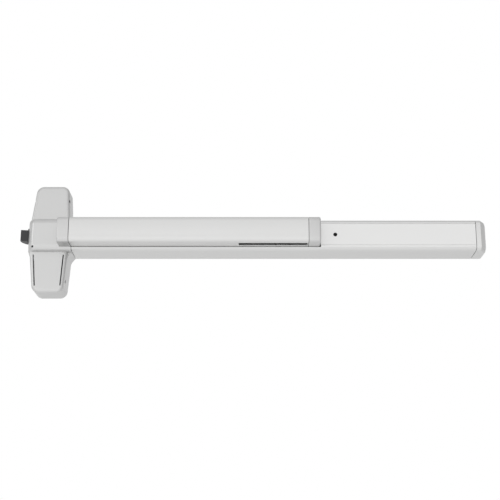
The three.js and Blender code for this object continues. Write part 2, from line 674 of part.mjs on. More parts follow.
function endCap() {
  const left = CASE_RIGHT + GAP;
  const plan = (inset) => outline([
    [left - 1, 1], [left - 1, -COVER_DEPTH - 1], [END_CAP_RIGHT - 11.7 - inset, -COVER_DEPTH],
    [END_CAP_RIGHT - inset, -45 + inset / 2], [END_CAP_RIGHT - inset, 1],
  ]);
  const outside = alongX(caseSection(0), left, END_CAP_RIGHT)
    .intersect(alongZ(plan(0), -40, 40));
  const inside = alongX(caseSection(WALL), left - 1, END_CAP_RIGHT - WALL)
    .intersect(alongZ(plan(WALL), -40, 40));
  const open = block([left - 1, END_CAP_RIGHT - WALL], [-1, 3], [-26, 26]);
  const holes = [-1, 1].map((side) => round(2.9,
    [END_CAP_RIGHT - 8, -CAP_SCREW.depth, side * CAP_SCREW.z],
    [END_CAP_RIGHT + 2, -CAP_SCREW.depth, side * CAP_SCREW.z], 16));
  return cut(outside, inside, open, ...holes);
}
place('end_cap', endCap(), satinSilver);

function endCapBracket() {
  const face = END_CAP_RIGHT - WALL - GAP;
  const base = block([714, face], [3.4, 6], [-20, 20]);
  const upright = block([face - 3, face], [3.4, 38], [-20, 20]);
  const holes = [-1, 1].map((side) => round(1.9,
    [face - 8, -CAP_SCREW.depth, side * CAP_SCREW.z],
    [face + 8, -CAP_SCREW.depth, side * CAP_SCREW.z], 12));
  const baseHoles = [-12, 12].map((z) => round(3, [740, 0, z], [740, -10, z], 16));
  return cut(joined(base, upright), ...holes, ...baseHoles);
}
place('end_cap_bracket', endCapBracket(), zincSteel);

for (const [side, level] of [[-1, 'lower'], [1, 'upper']]) {
  const y = -CAP_SCREW.depth;
  const z = side * CAP_SCREW.z;
  const shank = round(1.5, [772, y, z], [END_CAP_RIGHT - 2, y, z], 12);
  const head = round(2.5, [END_CAP_RIGHT - 2.4, y, z], [END_CAP_RIGHT - 0.4, y, z], 16);
  const socket = round(1.3, [END_CAP_RIGHT - 1.6, y, z], [END_CAP_RIGHT + 1, y, z], 6);
  place(`end_cap_screw_${level}`, cut(joined(shank, head), socket), blackSteel);
}

export default device;
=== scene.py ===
"""Touch-bar panic exit device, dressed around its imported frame.

Shapes are worked out in millimetres as (x, depth, z), where depth is the
distance in front of the door, and turned into metres when a mesh is made.
"""
import json
import logging
import math
from dataclasses import dataclass, field
from enum import Enum
from typing import Any, Iterable, Sequence, Union

import bmesh
import bpy
import numpy as np
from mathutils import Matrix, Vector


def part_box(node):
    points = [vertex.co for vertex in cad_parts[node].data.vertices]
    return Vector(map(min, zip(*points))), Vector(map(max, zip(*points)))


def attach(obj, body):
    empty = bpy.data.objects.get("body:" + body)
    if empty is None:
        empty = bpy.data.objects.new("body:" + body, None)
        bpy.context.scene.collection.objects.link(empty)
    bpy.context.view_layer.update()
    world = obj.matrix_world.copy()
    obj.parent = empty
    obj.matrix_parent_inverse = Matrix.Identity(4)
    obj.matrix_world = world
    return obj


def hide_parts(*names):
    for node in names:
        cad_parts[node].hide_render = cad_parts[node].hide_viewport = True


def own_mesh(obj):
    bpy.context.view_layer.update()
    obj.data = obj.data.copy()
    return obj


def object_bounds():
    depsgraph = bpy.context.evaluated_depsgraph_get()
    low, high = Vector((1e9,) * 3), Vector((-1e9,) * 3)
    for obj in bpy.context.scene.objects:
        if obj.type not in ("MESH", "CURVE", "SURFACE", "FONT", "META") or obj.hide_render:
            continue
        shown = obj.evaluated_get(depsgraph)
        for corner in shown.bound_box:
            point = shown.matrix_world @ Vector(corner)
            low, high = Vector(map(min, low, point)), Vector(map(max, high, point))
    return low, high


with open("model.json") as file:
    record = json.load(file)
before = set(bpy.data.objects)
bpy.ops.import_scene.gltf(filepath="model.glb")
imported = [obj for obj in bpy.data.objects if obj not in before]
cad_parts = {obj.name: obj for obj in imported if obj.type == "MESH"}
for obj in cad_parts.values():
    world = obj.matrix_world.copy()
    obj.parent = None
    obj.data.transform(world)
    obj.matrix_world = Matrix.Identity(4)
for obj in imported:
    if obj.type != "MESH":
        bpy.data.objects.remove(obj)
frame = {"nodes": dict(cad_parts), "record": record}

CAD_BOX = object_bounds()
MM = 0.001
STEP_WIDTH = 0.02       # width given to a wall that stands straight up on a surface
POLE_RADIUS = 0.05      # radius left where a turned piece closes on its axis
SMOOTH_ANGLE = math.radians(32)
ROUNDED_ANGLE = math.radians(34)
MERGE_DISTANCE = 1e-6   # in metres, as are the next two
SHORTEST_EDGE = 1e-7
WELD_DISTANCE = 1e-5

log = logging.getLogger("exit_device")


@dataclass(frozen=True)
class Extent:
    """Box of one or more frame nodes, in millimetres and depths."""

    left: float
    right: float
    front: float
    rear: float
    low: float
    high: float

    @classmethod
    def of(cls, *nodes: str) -> "Extent":
        """Measure the joint box of some nodes.

        Args:
            nodes: names of frame nodes.

        Returns:
            Their extent at rest.
        """
        corners = [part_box(node) for node in nodes]
        lo = np.min([np.array(low) for low, _ in corners], axis=0) / MM
        hi = np.max([np.array(high) for _, high in corners], axis=0) / MM
        return cls(lo[0], hi[0], -lo[1], -hi[1], lo[2], hi[2])

    @property
    def middle(self) -> np.ndarray:
        """Centre of the box as (x, depth, z)."""
        return np.array([(self.left + self.right) / 2, (self.front + self.rear) / 2,
                         (self.low + self.high) / 2])


# ---- shader maths -----------------------------------------------------------

Number = Union[float, int]
Operand = Union["Signal", Number]


class Signal:
    """A shader output that can be used in arithmetic."""

    def __init__(self, graph: "Graph", socket: Any) -> None:
        """Wrap an output socket of a graph's node."""
        self.graph = graph
        self.socket = socket

    def _math(self, operation: str, first: Operand, second: Operand) -> "Signal":
        """Add one Math node and return its value."""
        return self.graph.node("ShaderNodeMath", {"operation": operation},
                               {0: first, 1: second})

    def __add__(self, other: Operand) -> "Signal":
        """Add a value or signal."""
        return self._math("ADD", self, other)

    def __radd__(self, other: Operand) -> "Signal":
        """Add to a number."""
        return self._math("ADD", other, self)

    def __sub__(self, other: Operand) -> "Signal":
        """Take a value or signal away."""
        return self._math("SUBTRACT", self, other)

    def __rsub__(self, other: Operand) -> "Signal":
        """Take away from a number."""
        return self._math("SUBTRACT", other, self)

    def __mul__(self, other: Operand) -> "Signal":
        """Multiply by a value or signal."""
        return self._math("MULTIPLY", self, other)

    def __rmul__(self, other: Operand) -> "Signal":
        """Multiply a number."""
        return self._math("MULTIPLY", other, self)

    def above(self, level: Operand) -> "Signal":
        """The larger of this value and a level."""
        return self._math("MAXIMUM", self, level)


class Graph:
    """Builds the node tree of a material or a world."""

    def __init__(self, owner: Any) -> None:
        """Start an empty tree.

        Args:
            owner: the material or world that holds it.
        """
        owner.use_nodes = True
        self.tree = owner.node_tree
        self.tree.nodes.clear()

    def node(self, kind: str, settings: dict[str, Any] | None = None,
             inputs: dict[Any, Any] | None = None, output: Any = 0) -> Signal:
        """Add one node.

        Args:
            kind: the node's type.
            settings: properties set before any socket.
            inputs: socket name or number to a value or a Signal.
            output: name or number of the output wanted.

        Returns:
            That output as a Signal.
        """
        made = self.tree.nodes.new(kind)
        for name, value in (settings or {}).items():
            if name == "stops":
                self._ramp(made, value)
            else:
                setattr(made, name, value)
        for name, value in (inputs or {}).items():
            if isinstance(value, Signal):
                self.tree.links.new(value.socket, made.inputs[name])
            else:
                made.inputs[name].default_value = value
        return Signal(self, made.outputs[output] if len(made.outputs) else None)

    @staticmethod
    def _ramp(node: Any, stops: Sequence[tuple[float, Sequence[float]]]) -> None:
        """Give a colour ramp its stops.

        Args:
            node: the ramp's node.
            stops: place from 0 to 1, and colour, of each stop.
        """
        elements = node.color_ramp.elements
        while len(elements) < len(stops):
            elements.new(0.5)
        for element, (place, colour) in zip(elements, stops):
            element.position = place
            element.color = (*colour, 1.0)

    def position(self, scale: Sequence[float]) -> Signal:
        """Object coordinates stretched by a scale along each axis."""
        place = self.node("ShaderNodeTexCoord", output="Object")
        return self.node("ShaderNodeMapping", {}, {"Vector": place, "Scale": tuple(scale)})

    def noise(self, scale: Sequence[float], detail: float = 3.0) -> Signal:
        """Noise from 0 to 1 with the given number of cells per metre along each axis."""
        return self.node("ShaderNodeTexNoise", {},
                         {"Vector": self.position(scale), "Scale": 1.0, "Detail": detail})


class Grain(Enum):
    """How a surface was worked, as noise cells per metre along x, y and z."""

    SATIN = (1700.0, 1700.0, 1700.0)
    DRAWN = (28.0, 2600.0, 2600.0)
    CAST = (620.0, 620.0, 620.0)
    GROUND = (2400.0, 2400.0, 260.0)


DRIFT_CELLS = (9.0, 14.0, 14.0)     # slow change of colour, in noise cells per metre
SMUDGE_CELLS = (55.0, 70.0, 70.0)   # patches left by handling, likewise
DRIFT_SHARE = 1.6       # strength of the drift against the grain's
GRAIN_GLOSS = 0.10      # how far roughness moves over the grain
SMUDGE_GLOSS = 0.09     # how far roughness moves over the patches
LEAST_ROUGHNESS = 0.05
BUMP_STRENGTH = 0.5


@dataclass(frozen=True)
class Finish:
    """A metal finish: its colour, gloss and fine surface."""

    name: str
    slot: str
    colour: tuple[float, float, float]
    metallic: float
    roughness: float
    grain: Grain
    relief: float           # height of the grain, in millimetres
    mottle: float = 0.03    # share by which the colour drifts over the surface

    def material(self) -> bpy.types.Material:
        """Build the finish.

        Colour is the base colour times 1 plus a slow drift and a fine grain;
        roughness follows the same grain, which also gives the bump.

        Returns:
            The material, which is the same one at every call.
        """
        known = bpy.data.materials.get(self.name)
        if known:
            return known
        material = bpy.data.materials.new(self.name)
        graph = Graph(material)
        grain = graph.noise(self.grain.value)
        drift = graph.noise(DRIFT_CELLS, 2.0)
        smudge = graph.noise(SMUDGE_CELLS, 4.0)
        shade = 1.0 + (drift - 0.5) * self.mottle * DRIFT_SHARE + (grain - 0.5) * self.mottle
        colour = graph.node("ShaderNodeVectorMath", {"operation": "SCALE"},
                            {0: self.colour, "Scale": shade})
        roughness = (self.roughness + (grain - 0.5) * GRAIN_GLOSS
                     + (smudge - 0.5) * SMUDGE_GLOSS).above(LEAST_ROUGHNESS)
        bump = graph.node("ShaderNodeBump", {}, {
            "Strength": BUMP_STRENGTH, "Distance": self.relief * MM, "Height": grain}, "Normal")
        shader = graph.node("ShaderNodeBsdfPrincipled", {}, {
            "Base Color": colour, "Roughness": roughness, "Metallic": self.metallic,
            "Normal": bump})
        graph.node("ShaderNodeOutputMaterial", {}, {"Surface": shader})
        return material


SATIN_SILVER = Finish("satin silver", "satin_silver", (0.70, 0.70, 0.695), 0.72, 0.34,
                      Grain.SATIN, 0.012, 0.02)
CAST_SILVER = Finish("cast silver", "satin_silver", (0.63, 0.63, 0.627), 0.72, 0.36,
                     Grain.SATIN, 0.014, 0.03)
DRAWN_SILVER = Finish("drawn silver", "satin_silver", (0.70, 0.70, 0.695), 0.72, 0.34,
                      Grain.DRAWN, 0.010, 0.02)
COVER_SILVER = Finish("cover silver", "cover_face", (0.76, 0.76, 0.755), 0.68, 0.33,
                      Grain.DRAWN, 0.010, 0.02)
DARK_STEEL = Finish("dark latch steel", "dark_steel", (0.055, 0.055, 0.057), 0.6, 0.42,
                    Grain.CAST, 0.03, 0.12)
BLACK_STEEL = Finish("black steel", "black_steel", (0.018, 0.018, 0.019), 0.3, 0.45,
                     Grain.CAST, 0.02, 0.10)
BRIGHT_STEEL = Finish("bright steel", "bright_steel", (0.50, 0.51, 0.52), 1.0, 0.26,
                      Grain.GROUND, 0.008, 0.05)
ZINC_STEEL = Finish("zinc plated steel", "zinc_steel", (0.47, 0.48, 0.50), 1.0, 0.38,
                    Grain.CAST, 0.02, 0.10)
SLOT_FINISHES = {finish.slot: finish for finish in (
    SATIN_SILVER, COVER_SILVER, DARK_STEEL, BLACK_STEEL, BRIGHT_STEEL, ZINC_STEEL)}


# ---- surfaces ---------------------------------------------------------------

def quarter(distance: np.ndarray, radius: float) -> np.ndarray:
    """Drop of a rounded edge: radius minus the height of a circle, at a distance in from it."""
    reach = np.clip(radius - distance, 0.0, radius)
    return radius - np.sqrt(radius**2 - reach**2)


def fan(start: float, width: float, count: int) -> np.ndarray:
    """Places that leave `start` at equal angles of a quarter circle `width` wide."""
    return start + width * (1.0 - np.cos(np.linspace(0.0, math.pi / 2, count)))


def rounded(corners: Sequence[tuple[float, float, float]], steps: int = 7) -> np.ndarray:
    """Outline whose corners are arcs tangent to both of their edges.

    Args:
        corners: (u, v, radius) of each corner, in order round the outline.
        steps: points along each arc.

    Returns:
        The closed outline, one row for each point. An arc's centre lies on the
        corner's bisector at radius / sin(half the corner's angle).
    """
    places = np.array([corner[:2] for corner in corners], float)
    before = np.roll(places, 1, axis=0) - places
    after = np.roll(places, -1, axis=0) - places
    before /= np.linalg.norm(before, axis=1, keepdims=True)
    after /= np.linalg.norm(after, axis=1, keepdims=True)
    radius = np.array([corner[2] for corner in corners], float)[:, None]
    half = np.arccos(np.clip((before * after).sum(axis=1), -1, 1))[:, None] / 2
    bisector = before + after
    bisector /= np.linalg.norm(bisector, axis=1, keepdims=True)
    centre = places + bisector * radius / np.sin(half)
    reach = radius / np.tan(half)
    first = places + before * reach - centre
    last = places + after * reach - centre
    turn = (math.pi - 2 * half)[:, :, None]
    share = np.linspace(0.0, 1.0, steps)[None, :, None]
    points = (np.sin((1 - share) * turn) * first[:, None] + np.sin(share * turn) * last[:, None])
    return (centre[:, None] + points / np.sin(turn)).reshape(-1, 2)


def along_x(outline: np.ndarray, places: Sequence[float]) -> np.ndarray:
    """Carry an outline along X.

    Args:
        outline: rows of (depth, z).
        places: where along X a ring is wanted.

    Returns:
        The rings, which are the outline with each place put before it.
    """
    x = np.broadcast_to(np.array(places, float)[:, None], (len(places), len(outline)))
    section = np.broadcast_to(outline, (len(places), *outline.shape))
    return np.concatenate([x[..., None], section], axis=-1)


def along_z(outline: np.ndarray, levels: Sequence[float]) -> np.ndarray:
    """Carry an outline upwards.

    Args:
        outline: rows of (x, depth).
        levels: the heights at which a ring is wanted.

    Returns:
        The rings, which are the outline with each level put after it.
    """
    plan = np.broadcast_to(outline, (len(levels), *outline.shape))
    z = np.broadcast_to(np.array(levels, float)[:, None], (len(levels), len(outline)))
    return np.concatenate([plan, z[..., None]], axis=-1)


def along_depth(outline: np.ndarray, depths: Sequence[float]) -> np.ndarray:
    """Rings that carry an (x, z) outline out to each of some depths."""
    return along_z(outline, depths)[..., [0, 2, 1]]


class Axis(Enum):
    """Direction of a turned piece, as (along, first across, second across)."""

    X = ((1, 0, 0), (0, 1, 0), (0, 0, 1))
    DEPTH = ((0, 1, 0), (1, 0, 0), (0, 0, 1))


def turned(profile: np.ndarray, centre: Sequence[float], axis: Axis, sides: int = 40,
           hexagonal: Sequence[bool] = ()) -> np.ndarray:
    """Rings of a turned piece: each (along, radius) of the profile becomes a circle.

    Args:
        profile: rows of (distance along the axis, radius).
        centre: a point on the axis.
        axis: direction of the axis.
        sides: points round each ring.
        hexagonal: which rings are hexagons, whose radius at an angle is the
            flat's distance over the cosine of the angle from that flat's middle.

    Returns:
        The rings, one for each row of the profile.
    """
    angle = np.linspace(0.0, 2 * math.pi, sides, endpoint=False)
    radius = np.repeat(profile[:, 1:2], sides, axis=1)
    if len(hexagonal):
        flat = np.cos((angle + math.pi / 6) % (math.pi / 3) - math.pi / 6)
        six_sided = radius * math.cos(math.pi / 6) / flat
        radius = np.where(np.array(hexagonal)[:, None], six_sided, radius)
    along, first, second = (np.array(direction, float) for direction in axis.value)
    return (np.array(centre, float) + profile[:, 0, None, None] * along
            + (radius * np.cos(angle))[..., None] * first
            + (radius * np.sin(angle))[..., None] * second)


def ring_faces(count: int, points: int) -> list[list[int]]:
    """Join closed rings into one skin.

    Args:
        count: how many rings there are.
        points: points in each ring.

    Returns:
        Quads between neighbouring rings, and a flat face at each end.
    """
    index = np.arange(count * points).reshape(count, points)
    beside = np.roll(index, -1, axis=1)
    quads = np.stack([index[:-1], beside[:-1], beside[1:], index[1:]], axis=-1).reshape(-1, 4)
    return quads.tolist() + [index[0][::-1].tolist(), index[-1].tolist()]


def mesh_piece(name: str, points: np.ndarray, faces: list[list[int]]) -> bpy.types.Object:
    """Make an object whose points are merged and whose faces look outwards.

    Args:
        name: the object's name.
        points: (x, depth, z) of each point.
        faces: the points of each face.

    Returns:
        The object, linked to the scene.
    """
    place = points.reshape(-1, 3) * np.array([MM, -MM, MM])
    mesh = bpy.data.meshes.new(name)
    mesh.from_pydata(place.tolist(), [], faces)
    work = bmesh.new()
    work.from_mesh(mesh)
    bmesh.ops.remove_doubles(work, verts=work.verts, dist=MERGE_DISTANCE)
    bmesh.ops.dissolve_degenerate(work, edges=work.edges, dist=SHORTEST_EDGE)
    bmesh.ops.recalc_face_normals(work, faces=work.faces)
    work.to_mesh(mesh)
    work.free()
    piece = bpy.data.objects.new(name, mesh)
    bpy.context.scene.collection.objects.link(piece)
    return piece


def loft(name: str, rings: np.ndarray) -> bpy.types.Object:
    """A closed piece through rings of points."""
    return mesh_piece(name, rings, ring_faces(*rings.shape[:2]))


def box(name: str, x: Sequence[float], depth: Sequence[float], z: Sequence[float],
        radius: float = 0.3) -> bpy.types.Object:
    """A cutter with rounded edges along X."""
    corners = [(depth[0], z[0], radius), (depth[1], z[0], radius),
               (depth[1], z[1], radius), (depth[0], z[1], radius)]
    return loft(name, along_x(rounded(corners, 5), x))


def rod_cutter(centre: Sequence[float], axis: Axis, radius: float,
               reach: Sequence[float]) -> bpy.types.Object:
    """A round cutter between two distances along an axis."""
    return loft("cutter", turned(np.array([[reach[0], radius], [reach[1], radius]]),
                                 centre, axis, 32))


def carve(piece: bpy.types.Object, cutters: Iterable[bpy.types.Object]) -> bpy.types.Object:
    """Cut shapes away from a piece.

    Args:
        piece: the piece to cut.
        cutters: the shapes, each of which is deleted once it has cut.

    Returns:
        The same piece.
    """
    for cutter in cutters:
        modifier = piece.modifiers.new("cut", "BOOLEAN")
        modifier.operation = "DIFFERENCE"
        modifier.solver = "EXACT"
        modifier.object = cutter
        graph = bpy.context.evaluated_depsgraph_get()
        mesh = bpy.data.meshes.new_from_object(piece.evaluated_get(graph))
        piece.modifiers.clear()
        old = piece.data
        piece.data = mesh
        bpy.data.meshes.remove(old)
        bpy.data.objects.remove(cutter)
    return piece


def soften(piece: bpy.types.Object, width: float, segments: int = 2) -> None:
    """Give a piece's sharp edges a small rounding.

    Args:
        piece: the piece.
        width: width of the rounding in millimetres.
        segments: faces across it.
    """
    bevel = piece.modifiers.new("edge rounding", "BEVEL")
    bevel.width = width * MM
    bevel.segments = segments
    bevel.limit_method = "ANGLE"
    bevel.angle_limit = ROUNDED_ANGLE
    bevel.harden_normals = False


def shade(piece: bpy.types.Object) -> None:
    """Shade a mesh smoothly, apart from its sharp edges.

    Args:
        piece: the object that holds the mesh.
    """
    mesh = piece.data
    mesh.polygons.foreach_set("use_smooth", np.ones(len(mesh.polygons), bool))
    mesh.set_sharp_from_angle(angle=SMOOTH_ANGLE)


def settle(piece: bpy.types.Object, finish: Finish, body: str, nodes: Sequence[str],
           edge: float = 0.0) -> bpy.types.Object:
    """Dress a piece, put it on its body and let it stand for its nodes.

    Args:
        piece: the new object.
        finish: its finish.
        body: the frame body it rides on.
        nodes: the frame nodes it replaces.
        edge: rounding of its sharp edges in millimetres, or 0 for none.

    Returns:
        The same object.
    """
    piece.data.materials.clear()
    piece.data.materials.append(finish.material())
    shade(piece)
    if edge:
        soften(piece, edge)
    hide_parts(*nodes)
    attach(piece, body)
    log.info("%s rides on %s, %d faces", piece.name, body, len(piece.data.polygons))
    return piece


SOCKET_WIDTH = 0.52         # a socket's half width over its head's radius
CHAMFER_WIDTH = 0.14        # a head's chamfer over its radius
SOCKET_DEPTHS = (0.75, 0.62)    # the middle and the edge of a socket's floor, over the height


def socket_screw(name: str, centre: Sequence[float], axis: Axis, sign: int, radius: float,
                 height: float, shank: tuple[float, float]) -> bpy.types.Object:
    """A cap screw with a hexagon socket.

    Args:
        name: the piece's name.
        centre: middle of the head's outer face.
        axis: the screw's axis.
        sign: 1 where the head faces along the axis, -1 where it faces back.
        radius: the head's radius.
        height: the head's height.
        shank: radius and length of the shank.

    Returns:
        The screw, whose profile runs from the socket's floor over the head's
        chamfer and down the shank to its tip.
    """
    socket = radius * SOCKET_WIDTH
    chamfer = radius * CHAMFER_WIDTH
    middle, edge = SOCKET_DEPTHS
    thin, length = shank
    profile = np.array([
        [-height * middle, POLE_RADIUS], [-height * edge, socket], [-chamfer / 2, socket],
        [0, socket + chamfer / 2], [0, radius - chamfer], [-chamfer, radius], [-height, radius],
        [-height, thin], [-length + thin / 2, thin], [-length, thin / 2], [-length, POLE_RADIUS]])
    profile[:, 0] *= sign
    hexagonal = [ring in (1, 2) for ring in range(len(profile))]
    return loft(name, turned(profile, centre, axis, 48, hexagonal))


# ---- centre case ------------------------------------------------------------

@dataclass(frozen=True)
class Lobe:
    """A lobe's front depth and fall, and each side's half width at its root and its taper."""

    depth: float
    fall: float
    left: tuple[float, float]
    right: tuple[float, float]


@dataclass
class CentreCase:
    """The cast case at the latch end: two lobes, a deeper band and the bar's sleeve."""

    extent: Extent = field(default_factory=lambda: Extent.of("case_cover"))
    upper: Lobe = Lobe(42.0, 0.03, (35.9, 0.125), (33.1, 0.067))
    lower: Lobe = Lobe(50.0, 0.0, (34.4, 0.107), (32.5, 0.075))
    lobe_corner: float = 12.0
    lobe_edge: float = 6.0
    band_left: float = 38.4
    band_levels: tuple[float, float] = (-29.2, 31.4)
    band_depth: float = 61.5
    band_edge: float = 11.0
    band_side_depth: float = 44.6
    band_end: float = 11.5
    rim: float = 28.6
    fillet: float = 12.9
    fillet_power: float = 1.6       # how fast the fillet leaves the band
    band_power: float = 1.5         # 2 would make the band's end part of an ellipse
    sleeve_left: float = 20.2
    sleeve_edge: float = 7.0
    sleeve_shoulder: float = 2.6
    sleeve_crown: float = 1.2
    sleeve_front_wall: float = 3.0
    sleeve_side_wall: float = 2.2
    sleeve_foot: float = 21.0       # half height of the sleeve's opening at the door
    wall: float = 2.6
    slots: tuple[tuple[float, float], ...] = ((-27.7, 4.9), (26.2, -3.4))
    slot_levels: tuple[float, float] = (-34.5, -92.0)
    slot_half_width: float = 1.1
    window_reach: tuple[float, float] = (-46.0, -33.0)
    window_depths: tuple[float, float] = (4.6, 44.4)
    window_levels: tuple[float, float] = (-14.4, 19.6)
    small_hole: tuple[float, float] = (-28.2, -22.2)
    small_hole_radius: float = 1.9
    screw_hole_radius: float = 3.4
    screw_hole_reach: tuple[float, float] = (25.2, 45.0)
    screw_head: float = 3.0
    screw_shank: float = 1.5

    @property
    def bar(self) -> Extent:
        """Extent of the touch bar, whose section the sleeve repeats."""
        return Extent.of("touch_bar")

    @property
    def screws(self) -> list[str]:
        """Frame nodes of the four cover screws."""
        return [f"cover_screw_{level}_{side}" for level in ("lower", "upper")
                for side in ("left", "right")]

    def end(self, z: np.ndarray) -> np.ndarray:
        """How far from the middle the lobe on a level's side ends."""
        return np.where(z > 0, self.extent.high, -self.extent.low)

    def even_width(self, across: np.ndarray, z: np.ndarray) -> tuple[np.ndarray, np.ndarray]:
        """Root half width, and the half width of the evenly tapering side at a level.

        Args:
            across: any value with the sign of the side, negative on the left.
            z: levels.

        Returns:
            Both widths, where the second is the root less the taper times the
            distance past the end of the fillet.
        """
        table = np.array([[self.lower.left, self.lower.right], [self.upper.left, self.upper.right]])
        root, taper = np.moveaxis(table[(z > 0).astype(int), (across >= 0).astype(int)], -1, 0)
        return root, root - taper * (np.abs(z) - self.rim - self.fillet)

    def half_width(self, across: np.ndarray, z: np.ndarray) -> np.ndarray:
        """Half width of the outline at a level.

        The lobe tapers evenly, gains a fillet towards the band, is held at the
        band's own reach, and turns its end corner on a circle.

        Args:
            across: any value with the sign of the side, negative on the left.
            z: levels.

        Returns:
            The half width at each level.
        """
        level = np.abs(z)
        root, even = self.even_width(across, z)
        band = np.where(across < 0, self.band_left, self.extent.right)
        share = np.clip((level - self.rim) / self.fillet, 0.0, 1.0)
        curved = root + (band - root) * (1 - share)**self.fillet_power
        width = np.where(level < self.rim + self.fillet, curved, even)
        from_end = np.clip(self.end(z) - level, 0.0, self.lobe_corner)
        return width - quarter(from_end, self.lobe_corner)

    def inset(self, x: np.ndarray, z: np.ndarray) -> np.ndarray:
        """Distance in from a lobe's outline.

        It is the lesser of the distances to the side and to the end, or in a
        corner the radius less the distance to the corner's centre.

        Args:
            x: places across.
            z: levels.

        Returns:
            The distance at each place.
        """
        side = self.even_width(x, z)[1] - np.abs(x)
        end = self.end(z) - np.abs(z)
        corner = self.lobe_corner
        inside = np.minimum(side, end)
        turned_in = corner - np.hypot(np.clip(corner - side, 0, None), np.clip(corner - end, 0, None))
        return np.where((side < corner) & (end < corner), turned_in, inside)

    def depth(self, x: np.ndarray, z: np.ndarray) -> np.ndarray:
        """Depth of the front: the deepest of the lobes, the band and the sleeve.

        Each is a level face less the drop of its rounded edges. The band also
        falls back towards its left end, and the sleeve has a slight crown.

        Args:
            x: places across.
            z: levels.

        Returns:
            The depth at each place.
        """
        beyond = np.clip(np.abs(z) - self.rim, 0, None)
        front = np.where(z > 0, self.upper.depth - self.upper.fall * beyond,
                         self.lower.depth - self.lower.fall * beyond)
        lobe = front - quarter(self.inset(x, z), self.lobe_edge)
        low, high = self.band_levels
        from_edge = np.minimum(high - z, z - low)
        share = np.clip((x + self.band_left) / self.band_end, 0.0, 1.0)
        power = self.band_power
        end = (self.band_depth - self.band_side_depth) * (1 - (1 - (1 - share)**power)**(1 / power))
        band = self.band_depth - quarter(from_edge, self.band_edge) - end
        deepest = np.where(from_edge >= 0, np.maximum(lobe, band), lobe)
        within = self.bar.high - np.abs(z)
        past = x - self.sleeve_left
        crown = self.sleeve_crown * (z / self.bar.high)**2
        sleeve = (self.bar.front - crown - quarter(within, self.sleeve_edge)
                  - quarter(past, self.sleeve_shoulder))
        return np.where((within >= 0) & (past >= 0), np.maximum(deepest, sleeve), deepest)

    def lines(self) -> tuple[np.ndarray, np.ndarray]:
        """Grid lines, gathered at roundings and steps.

        Returns:
            The lines across, as shares of the half width, and the lines up.
        """
        right = self.extent.right
        edge = self.sleeve_left / right
        across = [np.linspace(-1, 1, 57), fan(-1, 0.3, 15), fan(1, -0.22, 13),
                  fan(edge, self.sleeve_shoulder / right, 9), [edge - STEP_WIDTH / right]]
        low, high = self.band_levels
        top, bottom = self.extent.high, self.extent.low
        up = [np.linspace(bottom, top, 93), fan(top, -13, 15), fan(bottom, 13, 15),
              fan(high, -self.band_edge, 12), fan(low, self.band_edge, 12),
              [high + STEP_WIDTH, low - STEP_WIDTH]]
        for side in (-1, 1):
            up.append(side * np.linspace(self.rim, self.rim + self.fillet, 12))
            up.append(fan(side * self.bar.high, -side * self.sleeve_edge, 11))
            up.append([side * (self.bar.high + STEP_WIDTH)])
        return tuple(np.unique(np.round(np.concatenate(part), 5)) for part in (across, up))

    def solid(self, name: str) -> bpy.types.Object:
        """The case as a closed block: its front over the outline, walls down to the door.

        Args:
            name: the block's name.

        Returns:
            The block.
        """
        share, z = np.meshgrid(*self.lines())
        x = share * self.half_width(share, z)
        return self._block(name, np.stack([x, self.depth(x, z), z], axis=-1), 0.0)

    def hollow(self) -> bpy.types.Object:
        """The space inside the wall.

        Its outline is the case's, a wall further in. Its front is the lowest
        front found within a wall's thickness around each point, less the wall.

        Returns:
            The space, as a cutter that also opens the back.
        """
        share, level = np.meshgrid(np.linspace(-1, 1, 33), self.lines()[1][::2])
        z = level * (1 - self.wall / self.end(level))
        x = share * (self.half_width(share, z) - self.wall)
        around = [self.depth(x + across, z + up) for across in (-self.wall, 0, self.wall)
                  for up in (-self.wall, 0, self.wall)]
        front = np.minimum(np.min(around, axis=0), self.band_depth) - self.wall
        return self._block("hollow", np.stack([x, front, z], axis=-1), -3.0)

    @staticmethod
    def _block(name: str, front: np.ndarray, base: float) -> bpy.types.Object:
        """Close a front surface with straight walls and a flat back.

        Args:
            name: the block's name.
            front: (x, depth, z) over a grid.
            base: depth of the back.

        Returns:
            The block.
        """
        rows, columns = front.shape[:2]
        index = np.arange(rows * columns).reshape(rows, columns)
        quads = np.stack([index[:-1, :-1], index[:-1, 1:], index[1:, 1:], index[1:, :-1]],
                         axis=-1).reshape(-1, 4)
        rim = np.concatenate([index[0, :-1], index[:-1, -1], index[-1, :0:-1], index[:0:-1, 0]])
        foot = front.reshape(-1, 3)[rim].copy()
        foot[:, 1] = base
        floor = rows * columns + np.arange(len(rim))
        walls = np.stack([rim, np.roll(rim, -1), np.roll(floor, -1), floor], axis=-1)
        points = np.concatenate([front.reshape(-1, 3), foot])
        return mesh_piece(name, points, quads.tolist() + walls.tolist() + [floor[::-1].tolist()])

